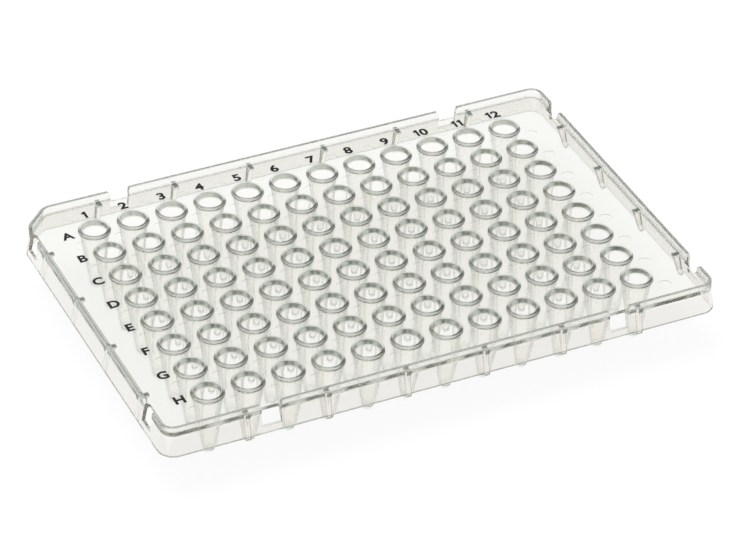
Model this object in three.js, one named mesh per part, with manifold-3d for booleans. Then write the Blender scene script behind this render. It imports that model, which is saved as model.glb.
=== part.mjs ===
// A 96-well PCR plate: low profile, semi-skirted, with a raised rim and one cut corner.
//
// The plate is one clear polypropylene moulding. A flat deck carries twelve columns and eight rows
// of thin conical tubes, each with a low collar round its mouth. A wall runs all the way round the
// deck: it stands above it as a rim and flares below it as a short skirt. Gussets brace the skirt
// and reach a little below it, and notches let a gripper or a heat seal hold the plate. The cut
// corner marks well A1.
//
// Millimetres, +Z up. +X runs along a row, from column 1 to column 12, and +Y points to row A. The
// origin is under the middle of the plate, on the plane of the tube tips that it stands on.

import * as THREE from 'three';
import { mergeVertices } from 'three/addons/utils/BufferGeometryUtils.js';
import Module from 'manifold-3d';

const wasm = await Module();
wasm.setup();

// Driving dimensions -----------------------------------------------------------------------------

// The wells sit on the standard grid, and the foot of the skirt has the standard footprint. The
// corner beside well A1 is cut at 45 degrees, and cutLeg is what the cut takes off each side.
const wells = { columns: 12, rows: 8, pitch: 9 };
const footprint = { length: 127.76, width: 85.48, cornerRadius: 3.7, cutLeg: 6.05 };

// Heights above the plane of the tube tips.
const level = {
  gussetFoot: 8.5,
  skirtFoot: 9.6,
  notchFloor: 11.2,
  deckUnder: 13.95,
  deckTop: 14.75,
  collarTop: 15.2,
  rimTop: 16.6,
};

// The wall round the deck. The skirt leans out by flare, and thins a little towards its foot. The
// rim's top edges are eased by edge, and fillet is the easing between the rim and the deck.
const wall = { thickness: 0.8, footThickness: 0.75, flare: 0.77, edge: 0.25, fillet: 0.6 };

// One tube with its collar. All but the last three are outside or inside diameters.
const tube = {
  collarOuter: 6.9,
  mouth: 5.7,
  neckOuter: 6.6,
  tipOuter: 2.45,
  floorInner: 1.85,
  floorRise: 0.75,
  tipEdge: 0.35,
  sides: 8,
};

// Notches through the wall, placed from the middle of each side. They cut the deck back by
// behindWall, and their upper corners are rounded over by shoulder.
const notch = { width: 4.4, shoulder: 1, alongLength: 39.85, alongWidth: 32.6, behindWall: 0.7 };

// Gussets between the deck and the skirt, at these places along each side. They stand out from the
// wall's inner face by reach under the deck, and by footReach at the bottom.
const gusset = {
  thickness: 1.2,
  reach: 1.35,
  footReach: 0.8,
  alongLength: [-45, -27, -9, 9, 27, 45],
  alongWidth: [-27, -9, 9, 27],
};

const arcDivisions = 2;
const overcut = 1;

// Solids from three.js geometry ------------------------------------------------------------------

// Welds a closed geometry, leaves out the triangles that a pole has collapsed, and makes it a solid.
function toSolid(geometry) {
  const bare = geometry.index ? geometry.toNonIndexed() : geometry.clone();
  for (const name of Object.keys(bare.attributes)) {
    if (name !== 'position') bare.deleteAttribute(name);
  }
  const welded = mergeVertices(bare, 1e-4);
  const corners = welded.index.array;
  const triVerts = [];
  for (let i = 0; i < corners.length; i += 3) {
    const [a, b, c] = corners.slice(i, i + 3);
    if (a !== b && b !== c && c !== a) triVerts.push(a, b, c);
  }
  return new wasm.Manifold(new wasm.Mesh({
    numProp: 3,
    vertProperties: new Float32Array(welded.attributes.position.array),
    triVerts: new Uint32Array(triVerts),
  }));
}

// Turns a finished solid back into a geometry with flat facets.
function toGeometry(solid) {
  const mesh = solid.getMesh();
  const geometry = new THREE.BufferGeometry();
  geometry.setAttribute('position', new THREE.BufferAttribute(new Float32Array(mesh.vertProperties), 3));
  geometry.setIndex(new THREE.BufferAttribute(new Uint32Array(mesh.triVerts), 1));
  const faceted = geometry.toNonIndexed();
  faceted.computeVertexNormals();
  return faceted;
}

// A closed solid through outlines that all have the same number of points, from the lowest up.
function loft(sections) {
  const count = sections[0].outline.length;
  const positions = [];
  for (const { z, outline } of sections) {
    for (const point of outline) positions.push(point.x, point.y, z);
  }
  const indices = [];
  for (let s = 0; s + 1 < sections.length; s += 1) {
    for (let i = 0; i < count; i += 1) {
      const low = s * count + i;
      const lowNext = s * count + ((i + 1) % count);
      indices.push(low, lowNext, lowNext + count, low, lowNext + count, low + count);
    }
  }
  const top = (sections.length - 1) * count;
  for (const [a, b, c] of THREE.ShapeUtils.triangulateShape(sections[0].outline, [])) {
    indices.push(c, b, a, top + a, top + b, top + c);
  }
  const geometry = new THREE.BufferGeometry();
  geometry.setAttribute('position', new THREE.Float32BufferAttribute(positions, 3));
  geometry.setIndex(indices);
  return geometry;
}

// Deck, rim and skirt ----------------------------------------------------------------------------

// The foot's outline moved inwards by inset, as a true offset: three round corners, and a cut one
// at -X, +Y whose two ends are rounded alike.
function plateOutline(inset) {
  const halfLength = footprint.length / 2 - inset;
  const halfWidth = footprint.width / 2 - inset;
  const radius = footprint.cornerRadius - inset;
  const run = footprint.cutLeg - inset * (2 - Math.SQRT2) + radius * Math.tan(Math.PI / 8);
  const quarter = Math.PI / 2;
  const eighth = Math.PI / 4;
  const shape = new THREE.Shape();
  shape.absarc(halfLength - radius, radius - halfWidth, radius, -quarter, 0);
  shape.absarc(halfLength - radius, halfWidth - radius, radius, 0, quarter);
  shape.absarc(run - halfLength, halfWidth - radius, radius, quarter, quarter + eighth);
  shape.absarc(radius - halfLength, halfWidth - run, radius, quarter + eighth, 2 * quarter);
  shape.absarc(radius - halfLength, radius - halfWidth, radius, 2 * quarter, 3 * quarter);
  return shape.getPoints(arcDivisions);
}

// The envelope is cut from above down to the deck, and from below up to it.
function trayBody() {
  const inner = wall.flare + wall.thickness;
  const thinning = (inner - wall.footThickness) / (level.deckUnder - level.skirtFoot);
  const envelope = loft([
    { z: level.skirtFoot, outline: plateOutline(0) },
    { z: level.deckUnder, outline: plateOutline(wall.flare) },
    { z: level.rimTop - wall.edge, outline: plateOutline(wall.flare) },
    { z: level.rimTop, outline: plateOutline(wall.flare + wall.edge) },
  ]);
  const pocketAbove = loft([
    { z: level.deckTop, outline: plateOutline(inner + wall.fillet) },
    { z: level.deckTop + wall.fillet, outline: plateOutline(inner) },
    { z: level.rimTop - wall.edge, outline: plateOutline(inner) },
    { z: level.rimTop + overcut, outline: plateOutline(inner - wall.edge - overcut) },
  ]);
  const pocketBelow = loft([
    { z: level.skirtFoot - overcut, outline: plateOutline(wall.footThickness - thinning * overcut) },
    { z: level.deckUnder, outline: plateOutline(inner) },
  ]);
  return toSolid(envelope).subtract(toSolid(pocketAbove)).subtract(toSolid(pocketBelow));
}

// Puts something made at the middle of the +Y side, with the wall's outer face at y = 0, along each
// of the four sides in turn.
function alongEverySide(geometry, placesAlongLength, placesAlongWidth) {
  const halfLength = footprint.length / 2 - wall.flare;
  const halfWidth = footprint.width / 2 - wall.flare;
  const sides = [
    { turn: 0, distance: halfWidth, places: placesAlongLength },
    { turn: Math.PI / 2, distance: halfLength, places: placesAlongWidth },
    { turn: Math.PI, distance: halfWidth, places: placesAlongLength },
    { turn: -Math.PI / 2, distance: halfLength, places: placesAlongWidth },
  ];
  return sides.flatMap(({ turn, distance, places }) => places.map((place) => (
    geometry.clone().translate(place, distance, 0).rotateZ(turn)
  )));
}

// A notch runs from the rim down past the deck, and its upper corners are rounded over.
function notchCutter() {
  const half = notch.width / 2;
  const lip = half + notch.shoulder;
  const shoulderFoot = level.rimTop - notch.shoulder;
  const profile = new THREE.Shape();
  profile.moveTo(-half, level.notchFloor);
  profile.lineTo(half, level.notchFloor);
  profile.absarc(lip, shoulderFoot, notch.shoulder, Math.PI, Math.PI / 2, true);
  profile.lineTo(lip, level.rimTop + overcut);
  profile.lineTo(-lip, level.rimTop + overcut);
  profile.absarc(-lip, shoulderFoot, notch.shoulder, Math.PI / 2, 0, true);
  const depth = wall.thickness + notch.behindWall + wall.flare + overcut;
  const cutter = new THREE.ExtrudeGeometry(profile, { depth, bevelEnabled: false, curveSegments: 1 });
  cutter.rotateX(Math.PI / 2);
  return cutter.translate(0, wall.flare + overcut, 0);
}

// A gusset is a rib inside the skirt that narrows downwards and ends below it as a small foot.
function gussetRib() {
  const sunk = wall.footThickness / 2;
  const innerFoot = wall.flare - wall.footThickness;
  const profile = new THREE.Shape();
  profile.moveTo(-sunk, level.deckUnder + sunk);
  profile.lineTo(-wall.thickness - gusset.reach, level.deckUnder + sunk);
  profile.lineTo(-wall.thickness - gusset.reach, level.deckUnder);
  profile.lineTo(innerFoot - gusset.footReach, level.gussetFoot);
  profile.lineTo(innerFoot + sunk, level.gussetFoot);
  profile.lineTo(innerFoot + sunk, level.skirtFoot + sunk);
  const rib = new THREE.ExtrudeGeometry(profile, { depth: gusset.thickness, bevelEnabled: false });
  rib.translate(0, 0, -gusset.thickness / 2);
  rib.rotateX(Math.PI / 2);
  return rib.rotateZ(Math.PI / 2);
}

// Tubes -------------------------------------------------------------------------------------------

// A closed solid of round sections, given as [diameter, height] pairs from the lowest up.
function roundLoft(profile) {
  return loft(profile.map(([diameter, z]) => {
    const circle = new THREE.Shape();
    circle.absarc(0, 0, diameter / 2, 0, 2 * Math.PI);
    return { z, outline: circle.getPoints(tube.sides / 2).slice(0, tube.sides) };
  }));
}

// The outside of a tube: collar above the deck, cone below it, and a small flat to stand on.
function tubeBlank() {
  const insideDeck = (level.deckTop + level.deckUnder) / 2;
  const growth = (tube.neckOuter - tube.tipOuter) / insideDeck;
  return roundLoft([
    [tube.tipOuter - 2 * tube.tipEdge, 0],
    [tube.tipOuter + growth * tube.tipEdge, tube.tipEdge],
    [tube.neckOuter, insideDeck],
    [tube.collarOuter, insideDeck],
    [tube.collarOuter, level.collarTop],
  ]);
}

// The inside of a tube: one cone from the mouth down to a small flat floor.
function tubeBore() {
  const growth = (tube.mouth - tube.floorInner) / (level.collarTop - tube.floorRise);
  return roundLoft([
    [tube.floorInner, tube.floorRise],
    [tube.mouth + growth * overcut, level.collarTop + overcut],
  ]);
}

// The centres of the wells, column by column from A1.
function wellCentres() {
  const centres = [];
  for (let column = 0; column < wells.columns; column += 1) {
    for (let row = 0; row < wells.rows; row += 1) {
      const x = (column - (wells.columns - 1) / 2) * wells.pitch;
      const y = ((wells.rows - 1) / 2 - row) * wells.pitch;
      centres.push([x, y]);
    }
  }
  return centres;
}

// The whole moulding ------------------------------------------------------------------------------

function moulding() {
  let body = trayBody();
  for (const rib of alongEverySide(gussetRib(), gusset.alongLength, gusset.alongWidth)) {
    body = body.add(toSolid(rib));
  }
  const notchesAlongLength = [-notch.alongLength, notch.alongLength];
  const notchesAlongWidth = [-notch.alongWidth, notch.alongWidth];
  for (const cutter of alongEverySide(notchCutter(), notchesAlongLength, notchesAlongWidth)) {
    body = body.subtract(toSolid(cutter));
  }
  const blank = toSolid(tubeBlank());
  const bore = toSolid(tubeBore());
  const centres = wellCentres();
  for (const [x, y] of centres) body = body.add(blank.translate([x, y, 0]));
  for (const [x, y] of centres) body = body.subtract(bore.translate([x, y, 0]));
  return toGeometry(body);
}

const clearPlastic = new THREE.MeshStandardMaterial({
  color: 0xeef0ee,
  roughness: 0.12,
  metalness: 0,
  transparent: true,
  opacity: 0.35,
});

const plate = new THREE.Mesh(moulding(), clearPlastic);
plate.name = 'well_plate';

const model = new THREE.Group();
model.add(plate);

export default model;
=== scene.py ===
import math

import bmesh
import bpy
from mathutils import Matrix, Vector


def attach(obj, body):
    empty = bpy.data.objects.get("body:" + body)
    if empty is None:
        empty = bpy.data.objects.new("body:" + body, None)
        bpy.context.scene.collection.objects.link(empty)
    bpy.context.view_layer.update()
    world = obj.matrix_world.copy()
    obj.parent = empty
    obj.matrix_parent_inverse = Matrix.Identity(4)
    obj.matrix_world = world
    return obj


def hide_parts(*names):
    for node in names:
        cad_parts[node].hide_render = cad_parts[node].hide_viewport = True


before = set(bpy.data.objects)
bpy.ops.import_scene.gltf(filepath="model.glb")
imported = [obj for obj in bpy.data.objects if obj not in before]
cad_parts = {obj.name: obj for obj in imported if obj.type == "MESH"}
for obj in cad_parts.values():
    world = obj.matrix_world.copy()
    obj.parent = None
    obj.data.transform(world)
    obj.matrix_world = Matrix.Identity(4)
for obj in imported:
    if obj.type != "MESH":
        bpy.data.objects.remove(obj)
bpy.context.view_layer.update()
mm = 0.001
tiny = 0.001 * mm  # points nearer than this are in the same place

# Camera -------------------------------------------------------------------------------------------
# A long lens from the plate's front left, 36 degrees above the bench, with the whole plate in view.

bpy.ops.object.camera_add(
    location=(-277.53 * mm, -587.44 * mm, 476.39 * mm),
    rotation=(math.radians(54.329), math.radians(-0.805), math.radians(-24.849)),
)
camera = bpy.context.object
camera.name = "camera"
camera.data.sensor_width = 36
camera.data.lens = 180.47
camera.data.clip_end = 10
bpy.context.scene.camera = camera

# Deck, rim and skirt --------------------------------------------------------------------------------
# The plate is one clear polypropylene moulding. Its flat deck hangs in a thin wall, which stands up
# as a rim and flares down as a skirt, and the corner beside well A1 is cut.

foot_length, foot_width = 127.76 * mm, 85.48 * mm
corner_radius, cut_leg = 3.7 * mm, 6.05 * mm
skirt_foot, deck_under, deck_top = 9.6 * mm, 13.95 * mm, 14.75 * mm
collar_top, rim_top = 15.2 * mm, 16.6 * mm
wall_thickness, foot_thickness, flare = 0.8 * mm, 0.75 * mm, 0.77 * mm
foot_edge, deck_fillet, under_fillet = 0.12 * mm, 0.6 * mm, 0.3 * mm


def edit(piece):
    """Opens one piece in edit mode, with nothing else selected."""
    if bpy.context.object and bpy.context.object.mode != "OBJECT":
        bpy.ops.object.mode_set(mode="OBJECT")
    bpy.ops.object.select_all(action="DESELECT")
    piece.select_set(True)
    bpy.context.view_layer.objects.active = piece
    bpy.ops.object.mode_set(mode="EDIT")


def pick(kind, test):
    """Selects the verts, edges or faces of the open piece that pass a test, and nothing else."""
    bpy.ops.mesh.select_all(action="DESELECT")
    bpy.ops.mesh.select_mode(type={"verts": "VERT", "edges": "EDGE", "faces": "FACE"}[kind])
    shape = bmesh.from_edit_mesh(bpy.context.object.data)
    for part in getattr(shape, kind):
        part.select = test(part)
    shape.select_flush_mode()
    bmesh.update_edit_mesh(bpy.context.object.data)


def close(piece):
    """Turns every face outwards and leaves edit mode."""
    bpy.ops.mesh.select_all(action="SELECT")
    bpy.ops.mesh.normals_make_consistent(inside=False)
    bpy.ops.object.mode_set(mode="OBJECT")


def follow(section):
    """Carries the selected face along a section of (inset, height) points."""
    for (inset, height), (next_inset, next_height) in zip(section, section[1:]):
        rise = next_height - height
        if abs(next_inset - inset) < 1e-9:
            bpy.ops.mesh.extrude_region_move(TRANSFORM_OT_translate={"value": (0, 0, rise)})
        else:
            bpy.ops.mesh.inset(thickness=next_inset - inset, depth=rise, use_even_offset=True)


bpy.ops.object.select_all(action="DESELECT")
bpy.ops.mesh.primitive_plane_add(size=1, location=(0, 0, skirt_foot))
plate = bpy.context.object
plate.name = "plate"
plate.scale = (foot_length, foot_width, 1)
bpy.ops.object.transform_apply(location=True, rotation=False, scale=True)
edit(plate)
pick("verts", lambda v: v.co.x < 0 < v.co.y)
bpy.ops.mesh.bevel(offset=cut_leg, segments=1, affect="VERTICES")
pick("verts", lambda v: abs(v.co.x) > foot_length / 2 - tiny and abs(v.co.y) > foot_width / 2 - tiny)
bpy.ops.mesh.bevel(offset=corner_radius, segments=8, affect="VERTICES")
pick(
    "verts",
    lambda v: v.co.x < corner_radius - foot_length / 2 - tiny and v.co.y > foot_width / 2 - cut_leg - tiny
    or v.co.x < cut_leg - foot_length / 2 + tiny and v.co.y > foot_width / 2 - tiny,
)
bpy.ops.mesh.bevel(offset=corner_radius * math.tan(math.pi / 8), segments=4, affect="VERTICES")

inner = flare + wall_thickness
quarter = [math.pi / 6 * step for step in range(1, 4)]
rim_radius = wall_thickness / 2
outside = [(0, skirt_foot), (flare, deck_under), (flare, rim_top - rim_radius)]
outside += [
    (flare + rim_radius * (1 - math.cos(a)), rim_top - rim_radius * (1 - math.sin(a))) for a in quarter
]
outside += [
    (inner - rim_radius * (1 - math.sin(a)), rim_top - rim_radius * (1 - math.cos(a))) for a in quarter
]
outside += [(inner, deck_top + deck_fillet)]
outside += [
    (inner + deck_fillet * (1 - math.cos(a)), deck_top + deck_fillet * (1 - math.sin(a))) for a in quarter
]
pick("faces", lambda f: True)
follow(outside)

pick("verts", lambda v: v.co.z < skirt_foot + tiny)
bpy.ops.mesh.edge_face_add()
close(plate)
edit(plate)
pick("faces", lambda f: f.normal.z < -0.9)
bpy.ops.mesh.inset(thickness=foot_thickness, depth=0, use_even_offset=True)
under_top = deck_under - under_fillet
bpy.ops.mesh.inset(thickness=inner - foot_thickness, depth=skirt_foot - under_top, use_even_offset=True)
for a, b in zip([0] + quarter, quarter):
    bpy.ops.mesh.inset(
        thickness=under_fillet * (math.cos(a) - math.cos(b)),
        depth=-under_fillet * (math.sin(b) - math.sin(a)),
        use_even_offset=True,
    )
pick(
    "edges",
    lambda e: max(v.co.z for v in e.verts) < skirt_foot + tiny and any(f.normal.z > -0.9 for f in e.link_faces),
)
bpy.ops.mesh.bevel(offset=foot_edge, segments=2, affect="EDGES")
close(plate)

# Gussets --------------------------------------------------------------------------------------------
# Thin ribs that brace the skirt against the deck. Each narrows downwards, and ends just below the
# skirt as a small foot.

rib_thickness, rib_reach, rib_foot_reach, rib_foot = 1.2 * mm, 1.7 * mm, 0.6 * mm, 8.5 * mm
rib_in_wall, rib_in_deck, rib_flare = 0.4 * mm, 0.35 * mm, 0.75 * mm
rib_round, rib_foot_round = 0.45 * mm, 0.3 * mm
rib_places_long = [-45 * mm, -27 * mm, -9 * mm, 9 * mm, 27 * mm, 45 * mm]
rib_places_short = [-27 * mm, -9 * mm, 9 * mm, 27 * mm]


def along_every_side(piece, long_places, short_places):
    """Copies a piece along all four sides and joins the copies. It is made with the wall's face at y = 0."""
    wall_y, wall_x = foot_width / 2 - flare, foot_length / 2 - flare
    copies = []
    for side, (wall_face, places) in enumerate([(wall_y, long_places), (wall_x, short_places)] * 2):
        for place in places:
            copy = piece.copy()
            copy.data = piece.data.copy()
            turn = Matrix.Rotation(side * math.pi / 2, 4, "Z")
            copy.data.transform(turn @ Matrix.Translation((place, wall_face, 0)))
            bpy.context.collection.objects.link(copy)
            copies.append(copy)
    bpy.data.objects.remove(piece)
    bpy.ops.object.select_all(action="DESELECT")
    for copy in copies:
        copy.select_set(True)
    bpy.context.view_layer.objects.active = copies[0]
    bpy.ops.object.join()
    return bpy.context.object


def shape_with(piece, tool, operation):
    """Joins a tool to a piece, or cuts it out, and takes the tool away."""
    bpy.ops.object.select_all(action="DESELECT")
    bpy.context.view_layer.objects.active = piece
    modifier = piece.modifiers.new(tool.name, "BOOLEAN")
    modifier.operation, modifier.solver, modifier.object = operation, "MANIFOLD", tool
    bpy.ops.object.modifier_apply(modifier=modifier.name)
    bpy.data.objects.remove(tool)


rib_top = deck_under + rib_in_deck
rib_length = wall_thickness + rib_reach - rib_in_wall
bpy.ops.object.select_all(action="DESELECT")
bpy.ops.mesh.primitive_cube_add(size=1, location=(0, -rib_in_wall - rib_length / 2, (rib_foot + rib_top) / 2))
rib = bpy.context.object
rib.name = "gussets"
rib.scale = (rib_thickness, rib_length, rib_top - rib_foot)
bpy.ops.object.transform_apply(location=True, rotation=False, scale=True)
edit(rib)
pick("verts", lambda v: v.co.z < rib_foot + tiny and v.co.y > -0.5 * mm)
bpy.ops.transform.translate(value=(0, rib_flare, 0))
pick("verts", lambda v: v.co.z < rib_foot + tiny and v.co.y < -0.5 * mm)
bpy.ops.transform.translate(value=(0, wall_thickness + rib_reach - rib_foot_reach, 0))
pick(
    "edges",
    lambda e: max(v.co.y for v in e.verts) < -0.5 * mm and abs(e.verts[0].co.z - e.verts[1].co.z) > 1 * mm,
)
bpy.ops.mesh.bevel(offset=rib_round, segments=4, affect="EDGES")
pick("edges", lambda e: max(v.co.z for v in e.verts) < rib_foot + tiny)
bpy.ops.mesh.bevel(offset=rib_foot_round, segments=3, affect="EDGES")
close(rib)
shape_with(plate, along_every_side(rib, rib_places_long, rib_places_short), "UNION")

# Notches --------------------------------------------------------------------------------------------
# Openings through the wall for a gripper, two on each side. They go from the rim to below the deck,
# and their upper corners are rounded over.

notch_width, notch_floor, notch_shoulder, behind_wall = 4.4 * mm, 11.2 * mm, 1 * mm, 0.7 * mm
notch_places_long, notch_places_short = [-39.85 * mm, 39.85 * mm], [-32.6 * mm, 32.6 * mm]
overcut, edge_easing = 1 * mm, 0.12 * mm

notch_depth = flare + overcut + wall_thickness + behind_wall
shoulder_foot = rim_top - notch_shoulder
bpy.ops.object.select_all(action="DESELECT")
bpy.ops.mesh.primitive_cube_add(
    size=1, location=(0, flare + overcut - notch_depth / 2, (notch_floor + shoulder_foot) / 2)
)
cutter = bpy.context.object
cutter.name = "notches"
cutter.scale = (notch_width, notch_depth, shoulder_foot - notch_floor)
bpy.ops.object.transform_apply(location=True, rotation=False, scale=True)
edit(cutter)
pick("faces", lambda f: f.normal.z > 0.9)
half, height = notch_width / 2, shoulder_foot
for step in range(1, 6):
    angle = math.pi / 2 * step / 5
    next_half = notch_width / 2 + notch_shoulder * (1 - math.cos(angle))
    next_height = shoulder_foot + notch_shoulder * math.sin(angle)
    bpy.ops.mesh.extrude_region_move(TRANSFORM_OT_translate={"value": (0, 0, next_height - height)})
    bpy.ops.transform.resize(value=(next_half / half, 1, 1), center_override=(0, 0, 0))
    half, height = next_half, next_height
bpy.ops.mesh.extrude_region_move(TRANSFORM_OT_translate={"value": (0, 0, overcut)})
close(cutter)
shape_with(plate, along_every_side(cutter, notch_places_long, notch_places_short), "DIFFERENCE")

# The mould leaves every edge of the wall slightly eased.
plate.select_set(True)
easing = plate.modifiers.new("eased edges", "BEVEL")
easing.width, easing.segments = edge_easing, 2
easing.limit_method, easing.angle_limit = "ANGLE", math.radians(40)
bpy.context.view_layer.objects.active = plate
bpy.ops.object.modifier_apply(modifier=easing.name)

# Wells ----------------------------------------------------------------------------------------------
# 96 thin conical tubes moulded with the deck, on a 9 mm grid. Each has a low collar round its mouth
# and a rounded tip with a small flat that the plate stands on.

pitch, columns, rows, tube_sides = 9 * mm, 12, 8, 24
collar_radius, mouth_radius, floor_rise = 3.45 * mm, 2.85 * mm, 0.75 * mm


def turned(name, section):
    """A closed round solid from (radius, height) points, the lowest first."""
    bpy.ops.object.select_all(action="DESELECT")
    radius, height = section[0]
    bpy.ops.mesh.primitive_circle_add(
        vertices=tube_sides, radius=radius, fill_type="NGON", location=(0, 0, height)
    )
    piece = bpy.context.object
    piece.name = name
    bpy.ops.object.transform_apply(location=True, rotation=False, scale=False)
    edit(piece)
    bpy.ops.mesh.select_all(action="SELECT")
    for next_radius, next_height in section[1:]:
        bpy.ops.mesh.extrude_region_move(TRANSFORM_OT_translate={"value": (0, 0, next_height - height)})
        grow = next_radius / radius
        bpy.ops.transform.resize(value=(grow, grow, 1), center_override=(0, 0, next_height))
        radius, height = next_radius, next_height
    close(piece)
    return piece


def spread(piece, across, along, start, step):
    """Repeats a piece over a grid, from its lowest corner."""
    bpy.context.view_layer.objects.active = piece
    for axis, count in ((0, across), (1, along)):
        repeat = piece.modifiers.new("grid", "ARRAY")
        repeat.count, repeat.use_relative_offset, repeat.use_constant_offset = count, False, True
        repeat.constant_offset_displace = (step if axis == 0 else 0, step if axis == 1 else 0, 0)
        bpy.ops.object.modifier_apply(modifier=repeat.name)
    piece.data.transform(Matrix.Translation((start[0], start[1], 0)))
    return piece


first_well = (-(columns - 1) / 2 * pitch, -(rows - 1) / 2 * pitch)
tube = turned("tubes", [
    (0.85 * mm, 0),
    (1.04 * mm, 0.05 * mm),
    (1.18 * mm, 0.17 * mm),
    (1.275 * mm, 0.35 * mm),
    (3.24 * mm, deck_under - 0.3 * mm),
    (3.3 * mm, deck_under - 0.12 * mm),
    (3.48 * mm, deck_under + 0.03 * mm),
    (3.7 * mm, deck_top - 0.02 * mm),
    (3.54 * mm, deck_top + 0.05 * mm),
    (collar_radius, deck_top + 0.17 * mm),
    (collar_radius, collar_top - 0.14 * mm),
    (collar_radius - 0.05 * mm, collar_top - 0.04 * mm),
    (collar_radius - 0.15 * mm, collar_top),
])
shape_with(plate, spread(tube, columns, rows, first_well, pitch), "UNION")
bore = turned("bores", [
    (0.55 * mm, floor_rise),
    (0.8 * mm, floor_rise + 0.08 * mm),
    (0.95 * mm, floor_rise + 0.28 * mm),
    (mouth_radius - 0.06 * mm, collar_top - 0.32 * mm),
    (mouth_radius, collar_top - 0.14 * mm),
    (mouth_radius + 0.08 * mm, collar_top - 0.03 * mm),
    (mouth_radius + 0.22 * mm, collar_top + 0.01 * mm),
    (mouth_radius + 0.22 * mm, collar_top + 0.5 * mm),
])
shape_with(plate, spread(bore, columns, rows, first_well, pitch), "DIFFERENCE")

# Ejector marks --------------------------------------------------------------------------------------
# Shallow round dimples between the wells, where pins pushed the plate off the mould.

pin_radius, pin_depth = 1.5 * mm, 0.08 * mm
pin = turned("ejector marks", [
    (pin_radius, deck_top - pin_depth),
    (pin_radius, deck_top + 0.2 * mm),
])
first_pin = (first_well[0] - pitch / 2, first_well[1] - pitch / 2)
shape_with(plate, spread(pin, columns + 1, rows + 1, first_pin, pitch), "DIFFERENCE")

# The moulding's surface -----------------------------------------------------------------------------
# Smooth clear polypropylene, a little uneven and very slightly yellow. The flat faces stay flat, and
# every round blends into them.

edit(plate)
bpy.ops.mesh.select_all(action="SELECT")
bpy.ops.mesh.remove_doubles(threshold=0.002 * mm)
bpy.ops.mesh.dissolve_degenerate(threshold=0.001 * mm)


def is_flat(face):
    """True for the deck, and for walls that run along the plate or along its cut corner."""
    x, y, z = (abs(part) for part in face.normal)
    return z > 0.999 or z < 0.2 and min(x, y, abs(x - y)) < 2e-3


def is_side(face):
    """True for the long sides of the tubes and their bores."""
    heights = [v.co.z for v in face.verts]
    return not is_flat(face) and max(heights) - min(heights) > 2 * mm


pick("faces", lambda f: not is_flat(f) and not is_side(f))
bpy.ops.mesh.mod_weighted_strength(set=True, face_strength="WEAK")
pick("faces", is_side)
bpy.ops.mesh.mod_weighted_strength(set=True, face_strength="MEDIUM")
pick("faces", is_flat)
bpy.ops.mesh.mod_weighted_strength(set=True, face_strength="STRONG")
bpy.ops.object.mode_set(mode="OBJECT")
bpy.ops.object.shade_smooth_by_angle(angle=math.radians(42))
weighting = plate.modifiers.new("flat faces", "WEIGHTED_NORMAL")
weighting.mode, weighting.weight = "FACE_AREA_WITH_ANGLE", 50
weighting.keep_sharp = weighting.use_face_influence = True
bpy.ops.object.modifier_apply(modifier=weighting.name)


class Socket:
    """A shader value that Python's arithmetic can work on, adding a Math node for each step."""

    def __init__(self, tree, link):
        self.tree, self.link = tree, link

    def math(self, operation, *others):
        inputs = {0: self, **dict(enumerate(others, 1))}
        return node(self.tree, "ShaderNodeMath", {"operation": operation}, inputs)["Value"]

    def __add__(self, other):
        return self.math("ADD", other)

    def __sub__(self, other):
        return self.math("SUBTRACT", other)

    def __mul__(self, other):
        return self.math("MULTIPLY", other)

    def __rsub__(self, other):
        return (self * -1) + other

    __radd__, __rmul__ = __add__, __mul__

    def step(self, low, high):
        """0 up to low, 1 from high on and smooth between. With low above high it falls instead."""
        settings = {"interpolation_type": "SMOOTHSTEP"}
        inputs = {0: self, 1: low, 2: high, 3: 0.0, 4: 1.0}
        return node(self.tree, "ShaderNodeMapRange", settings, inputs)["Result"]

    def from_nearest(self, spacing):
        """The distance to the nearest odd multiple of half the spacing."""
        return (self + spacing / 2).math("PINGPONG", spacing / 2)


def node(tree, kind, settings={}, inputs={}):
    """Adds a node, sets it, then sets or links its inputs. Its outputs come back by name."""
    made = tree.nodes.new(kind)
    for name, value in settings.items():
        setattr(made, name, value)
    for key, value in inputs.items():
        if isinstance(value, Socket):
            tree.links.new(value.link, made.inputs[key])
        else:
            made.inputs[key].default_value = value
    return {output.name: Socket(tree, output) for output in made.outputs if output.enabled}


def new_material(name):
    """An empty node material and its tree."""
    material = bpy.data.materials.new(name)
    material.use_nodes = True
    material.node_tree.nodes.clear()
    return material, material.node_tree


def mixed(tree, mask, first, second):
    """Goes from the first colour to the second where the mask is 1."""
    return node(tree, "ShaderNodeMix", {"data_type": "RGBA"}, {0: mask, 6: first, 7: second})["Result"]


# The plastic's own colour first; every colour after it is painted shade.
water_clear, painted_edge_shade, painted_skirt_shade = (1, 0.993, 0.975, 1), (0.18, 0.24, 0.2, 1), (0.91, 0.89, 0.86, 1)
painted_mouth_shade, painted_tip_shade = (0.82, 0.87, 0.82, 1), (0.5, 0.55, 0.51, 1)
painted_crown_shade, painted_gusset_shade = (0.45, 0.5, 0.46, 1), (0.08, 0.1, 0.09, 1)

clear, tree = new_material("clear polypropylene")
place = node(tree, "ShaderNodeTexCoord")["Object"]
x, y, z = node(tree, "ShaderNodeSeparateXYZ", {}, {0: place}).values()
swirl = node(tree, "ShaderNodeTexNoise", {}, {"Vector": place, "Scale": 90.0, "Detail": 2.0})["Fac"]
haze = node(tree, "ShaderNodeTexNoise", {}, {"Vector": place, "Scale": 400.0, "Detail": 3.0})["Fac"]
uneven = node(tree, "ShaderNodeBump", {}, {"Height": swirl, "Strength": 0.02, "Distance": 0.4 * mm})["Normal"]
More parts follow.
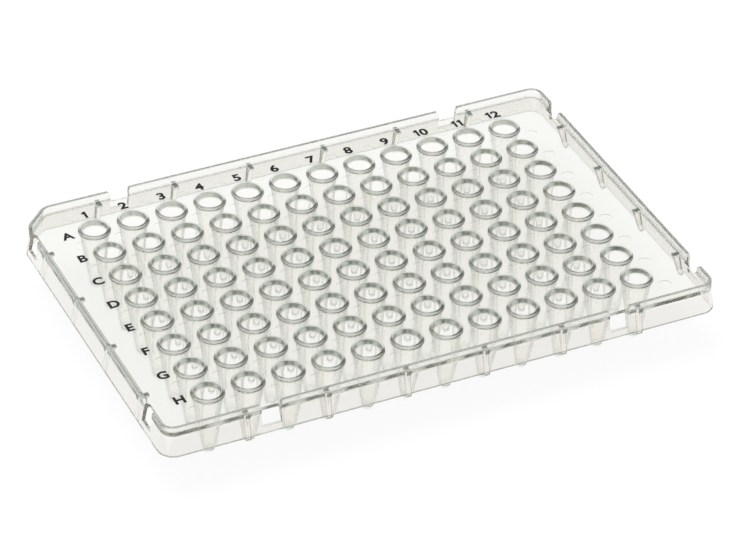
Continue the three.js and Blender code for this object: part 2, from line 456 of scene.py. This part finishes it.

# Painted shade: the plastic's colour is greyed where it is seen edge on, along the rim's crown, round the
# wells' mouths and tips, and darkened where a gusset backs it. The skirt gets a light painted shade that the
# deck does not. The mouths are also a little frosted.
across, along = x.math("ABSOLUTE"), y.math("ABSOLUTE")
# Where the plastic is seen edge on, for the painted shade on its edges.
edge_on = node(tree, "ShaderNodeLayerWeight", {}, {"Blend": 0.5})["Facing"].step(0.45, 0.9)
# Where the rim's crown gets its painted shade.
crown = z.step(rim_top - 0.35 * mm, rim_top - 0.1 * mm)
in_wall = across.step(62.1 * mm, 62.25 * mm).math("MAXIMUM", along.step(41 * mm, 41.15 * mm))
on_cut = (y - x).step(97.9 * mm, 98.2 * mm)
# Where the skirt gets its painted shade, below the deck.
skirt = in_wall.math("MAXIMUM", on_cut) * z.step(deck_under, deck_under - 0.25 * mm)
foot = in_wall * z.step(skirt_foot + 0.3 * mm, skirt_foot + 0.1 * mm)
deck_level = z.step(deck_under - 0.1 * mm, deck_under + 0.05 * mm)
deck_level *= z.step(deck_top + 0.3 * mm, deck_top + 0.1 * mm)
by_long_wall = along.step(39.3 * mm, 39.6 * mm) * across.step(50 * mm, 48 * mm)
by_short_wall = across.step(60.4 * mm, 60.7 * mm) * along.step(32 * mm, 30 * mm)
# Where the deck over each gusset gets painted shade.
backed = by_long_wall * x.from_nearest(2 * pitch).step(0.7 * mm, 0.45 * mm)
backed += by_short_wall * y.from_nearest(2 * pitch).step(0.7 * mm, 0.45 * mm)
off_x, off_y = x.from_nearest(pitch), y.from_nearest(pitch)
on_grid = across.step(54 * mm, 53.5 * mm) * along.step(36 * mm, 35.5 * mm)
off_axis = (off_x * off_x + off_y * off_y).math("SQRT")
at_well = on_grid * off_axis.step(3.75 * mm, 3.55 * mm)
# The wells' mouths: painted shade in the colour, frosting in the roughness.
lip = at_well * z.step(deck_under - 0.35 * mm, deck_under)
# Where the wells' tips get painted shade.
tip = at_well * off_axis.step(1 * mm, 1.15 * mm) * z.step(2 * mm, 0.6 * mm)
rim = in_wall * z.step(deck_top, deck_top + 0.08 * mm)
# Painted shade on surfaces seen edge on, much weaker at the deck's level.
colour = mixed(tree, edge_on * (1 - deck_level * 0.85), water_clear, painted_edge_shade)
# Painted shade on the skirt.
colour = mixed(tree, skirt, colour, painted_skirt_shade)
# Painted shade round the wells' mouths and collars.
colour = mixed(tree, lip * 0.6, colour, painted_mouth_shade)
# Painted shade round the wells' tips.
colour = mixed(tree, tip * 0.5, colour, painted_tip_shade)
# Painted shade along the rim's crown.
colour = mixed(tree, crown, colour, painted_crown_shade)
# Painted shade on the deck over the gussets.
colour = mixed(tree, backed * deck_level, colour, painted_gusset_shade)
gloss = node(tree, "ShaderNodeBsdfPrincipled", {}, {
    "Base Color": colour,
    "Roughness": haze * 0.06 + lip * 0.22 + (rim + foot) * 0.07 + 0.05,
    "IOR": 1.49,
    "Transmission Weight": 1.0,
    "Sheen Weight": 0.15,
    "Sheen Roughness": 0.4,
    "Sheen Tint": (0.93, 1, 0.95, 1),
    "Normal": uneven,
})["BSDF"]
tinted = node(tree, "ShaderNodeVolumeAbsorption", {}, {
    "Color": (0.5, 0.47, 0.35, 1),
    "Density": 40.0,
})["Volume"]
node(tree, "ShaderNodeOutputMaterial", {}, {"Surface": gloss, "Volume": tinted})

plate.data.materials.clear()
plate.data.materials.append(clear)
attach(plate, "root")
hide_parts("well_plate")

# Row letters and column numbers ---------------------------------------------------------------------
# Black ink printed on the deck along its left and back edges, in a bold upright face. The figure one
# has a flag and no foot.

letter_height, stroke, ink_thickness = 2.5 * mm, 0.56 * mm, 0.02 * mm
letters_x, numbers_y, gap, lift = -55.7 * mm, 37.6 * mm, 0.28 * mm, 0.005 * mm
capital_share, thickening, letter_width, figure_width = 0.73, 0.036, 1.04, 1.1

ink, tree = new_material("black ink")
place = node(tree, "ShaderNodeTexCoord")["Object"]
speckle = node(tree, "ShaderNodeTexNoise", {}, {"Vector": place, "Scale": 6000.0, "Detail": 2.0})["Fac"]
dull = node(tree, "ShaderNodeBsdfPrincipled", {}, {
    "Base Color": (0.012, 0.012, 0.014, 1),
    "Roughness": speckle * 0.2 + 0.5,
    "Specular IOR Level": 0.2,
})["BSDF"]
node(tree, "ShaderNodeOutputMaterial", {}, {"Surface": dull})


def bar(length, turn, x, y):
    """A straight stroke of ink from a point, at an angle to the deck's x axis."""
    bpy.ops.object.select_all(action="DESELECT")
    bpy.ops.mesh.primitive_cube_add(size=1, location=(0, 0, 0))
    piece = bpy.context.object
    place = Matrix.Translation((x, y, 0)) @ Matrix.Rotation(turn, 4, "Z")
    size = Matrix.Diagonal((length, stroke, ink_thickness, 1))
    piece.data.transform(place @ size @ Matrix.Translation((0.5, 0, 0)))
    return piece


def figure(character):
    """One letter or figure as a closed mesh of ink."""
    if character == "1":
        piece = bar(letter_height, math.pi / 2, 0, 0)
        flag = bar(0.95 * mm, math.radians(218), 0.1 * mm, letter_height - 0.16 * mm)
        shape_with(piece, flag, "UNION")
        return piece
    bpy.ops.object.select_all(action="DESELECT")
    bpy.ops.object.text_add()
    piece = bpy.context.object
    piece.data.body = character
    piece.data.size = letter_height / capital_share
    piece.data.offset = thickening * piece.data.size
    piece.data.extrude = ink_thickness / 2
    piece.data.resolution_u = 4
    bpy.ops.object.convert(target="MESH")
    piece = bpy.context.object
    piece.data.transform(Matrix.Diagonal((figure_width if character.isdigit() else letter_width, 1, 1, 1)))
    return piece


def print_mark(text, x, y):
    """Lays the characters of a mark side by side on the deck, centred on a point, as one piece."""
    edge, characters = 0, []
    for character in text:
        piece = figure(character)
        left, right = (limit(v.co.x for v in piece.data.vertices) for limit in (min, max))
        piece.data.transform(Matrix.Translation((edge - left, 0, 0)))
        edge += right - left + gap
        characters.append(piece)
    bpy.ops.object.select_all(action="DESELECT")
    for piece in characters:
        piece.select_set(True)
    bpy.context.view_layer.objects.active = characters[0]
    bpy.ops.object.join()
    mark = bpy.context.object
    mark.name = mark.data.name = "print_" + text
    points = [v.co for v in mark.data.vertices]
    low, high = (Vector([limit(point[axis] for point in points) for axis in range(3)]) for limit in (min, max))
    resting = Vector((x, y, deck_top + ink_thickness / 2 + lift))
    mark.data.transform(Matrix.Translation(resting - (low + high) / 2))
    mark.data.materials.clear()
    mark.data.materials.append(ink)
    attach(mark, "root")


for row, letter in enumerate("ABCDEFGH"):
    print_mark(letter, letters_x, ((rows - 1) / 2 - row) * pitch)
for column in range(columns):
    print_mark(str(column + 1), (column - (columns - 1) / 2) * pitch, numbers_y)

# Floor and light ------------------------------------------------------------------------------------
# A pale bench under the plate, and a plain studio: bright overhead, dimmer towards the horizon.

bpy.ops.object.select_all(action="DESELECT")
bpy.ops.mesh.primitive_plane_add(size=6, location=(0, 0, 0))
bench = bpy.context.object
bench.name = "bench"
paper, tree = new_material("pale bench")
seen = node(tree, "ShaderNodeLightPath")
shown = seen["Is Camera Ray"].math("MAXIMUM", seen["Is Glossy Ray"])
shown = shown.math("MAXIMUM", seen["Is Transmission Ray"])
matte = node(tree, "ShaderNodeBsdfDiffuse", {}, {"Color": (0.9, 0.9, 0.9, 1)})["BSDF"]
bright = node(tree, "ShaderNodeEmission", {}, {"Color": (1, 1, 1, 1), "Strength": 1.0})["Emission"]
surface = node(tree, "ShaderNodeMixShader", {}, {0: shown * 0.93, 1: matte, 2: bright})["Shader"]
node(tree, "ShaderNodeOutputMaterial", {}, {"Surface": surface})
bench.data.materials.append(paper)

world = bpy.data.worlds.new("studio")
bpy.context.scene.world = world
world.use_nodes = True
tree = world.node_tree
tree.nodes.clear()
direction = node(tree, "ShaderNodeTexCoord")["Generated"]
height = node(tree, "ShaderNodeSeparateXYZ", {}, {0: direction})["Z"]
skyline = node(tree, "ShaderNodeBackground", {}, {"Color": (0.97, 1, 0.97, 1), "Strength": 0.9})["Background"]
room = node(tree, "ShaderNodeBackground", {}, {"Color": (0.93, 1, 0.95, 1), "Strength": 0.7})["Background"]
around = node(tree, "ShaderNodeMixShader", {}, {0: height.step(0.03, 0.22), 1: skyline, 2: room})["Shader"]
node(tree, "ShaderNodeOutputWorld", {}, {"Surface": around})

bpy.ops.object.light_add(
    type="AREA", location=(-0.2, 0.2, 1.2), rotation=(math.radians(-9.5), math.radians(-9.5), 0)
)
softbox = bpy.context.object
softbox.name = "softbox"
softbox.data.size, softbox.data.energy = 0.8, 14
softbox.visible_glossy = softbox.visible_transmission = False

bpy.context.scene.view_settings.view_transform = "Standard"
for kind in ("max_bounces", "glossy_bounces", "transmission_bounces", "volume_bounces"):
    setattr(bpy.context.scene.cycles, kind, 32)
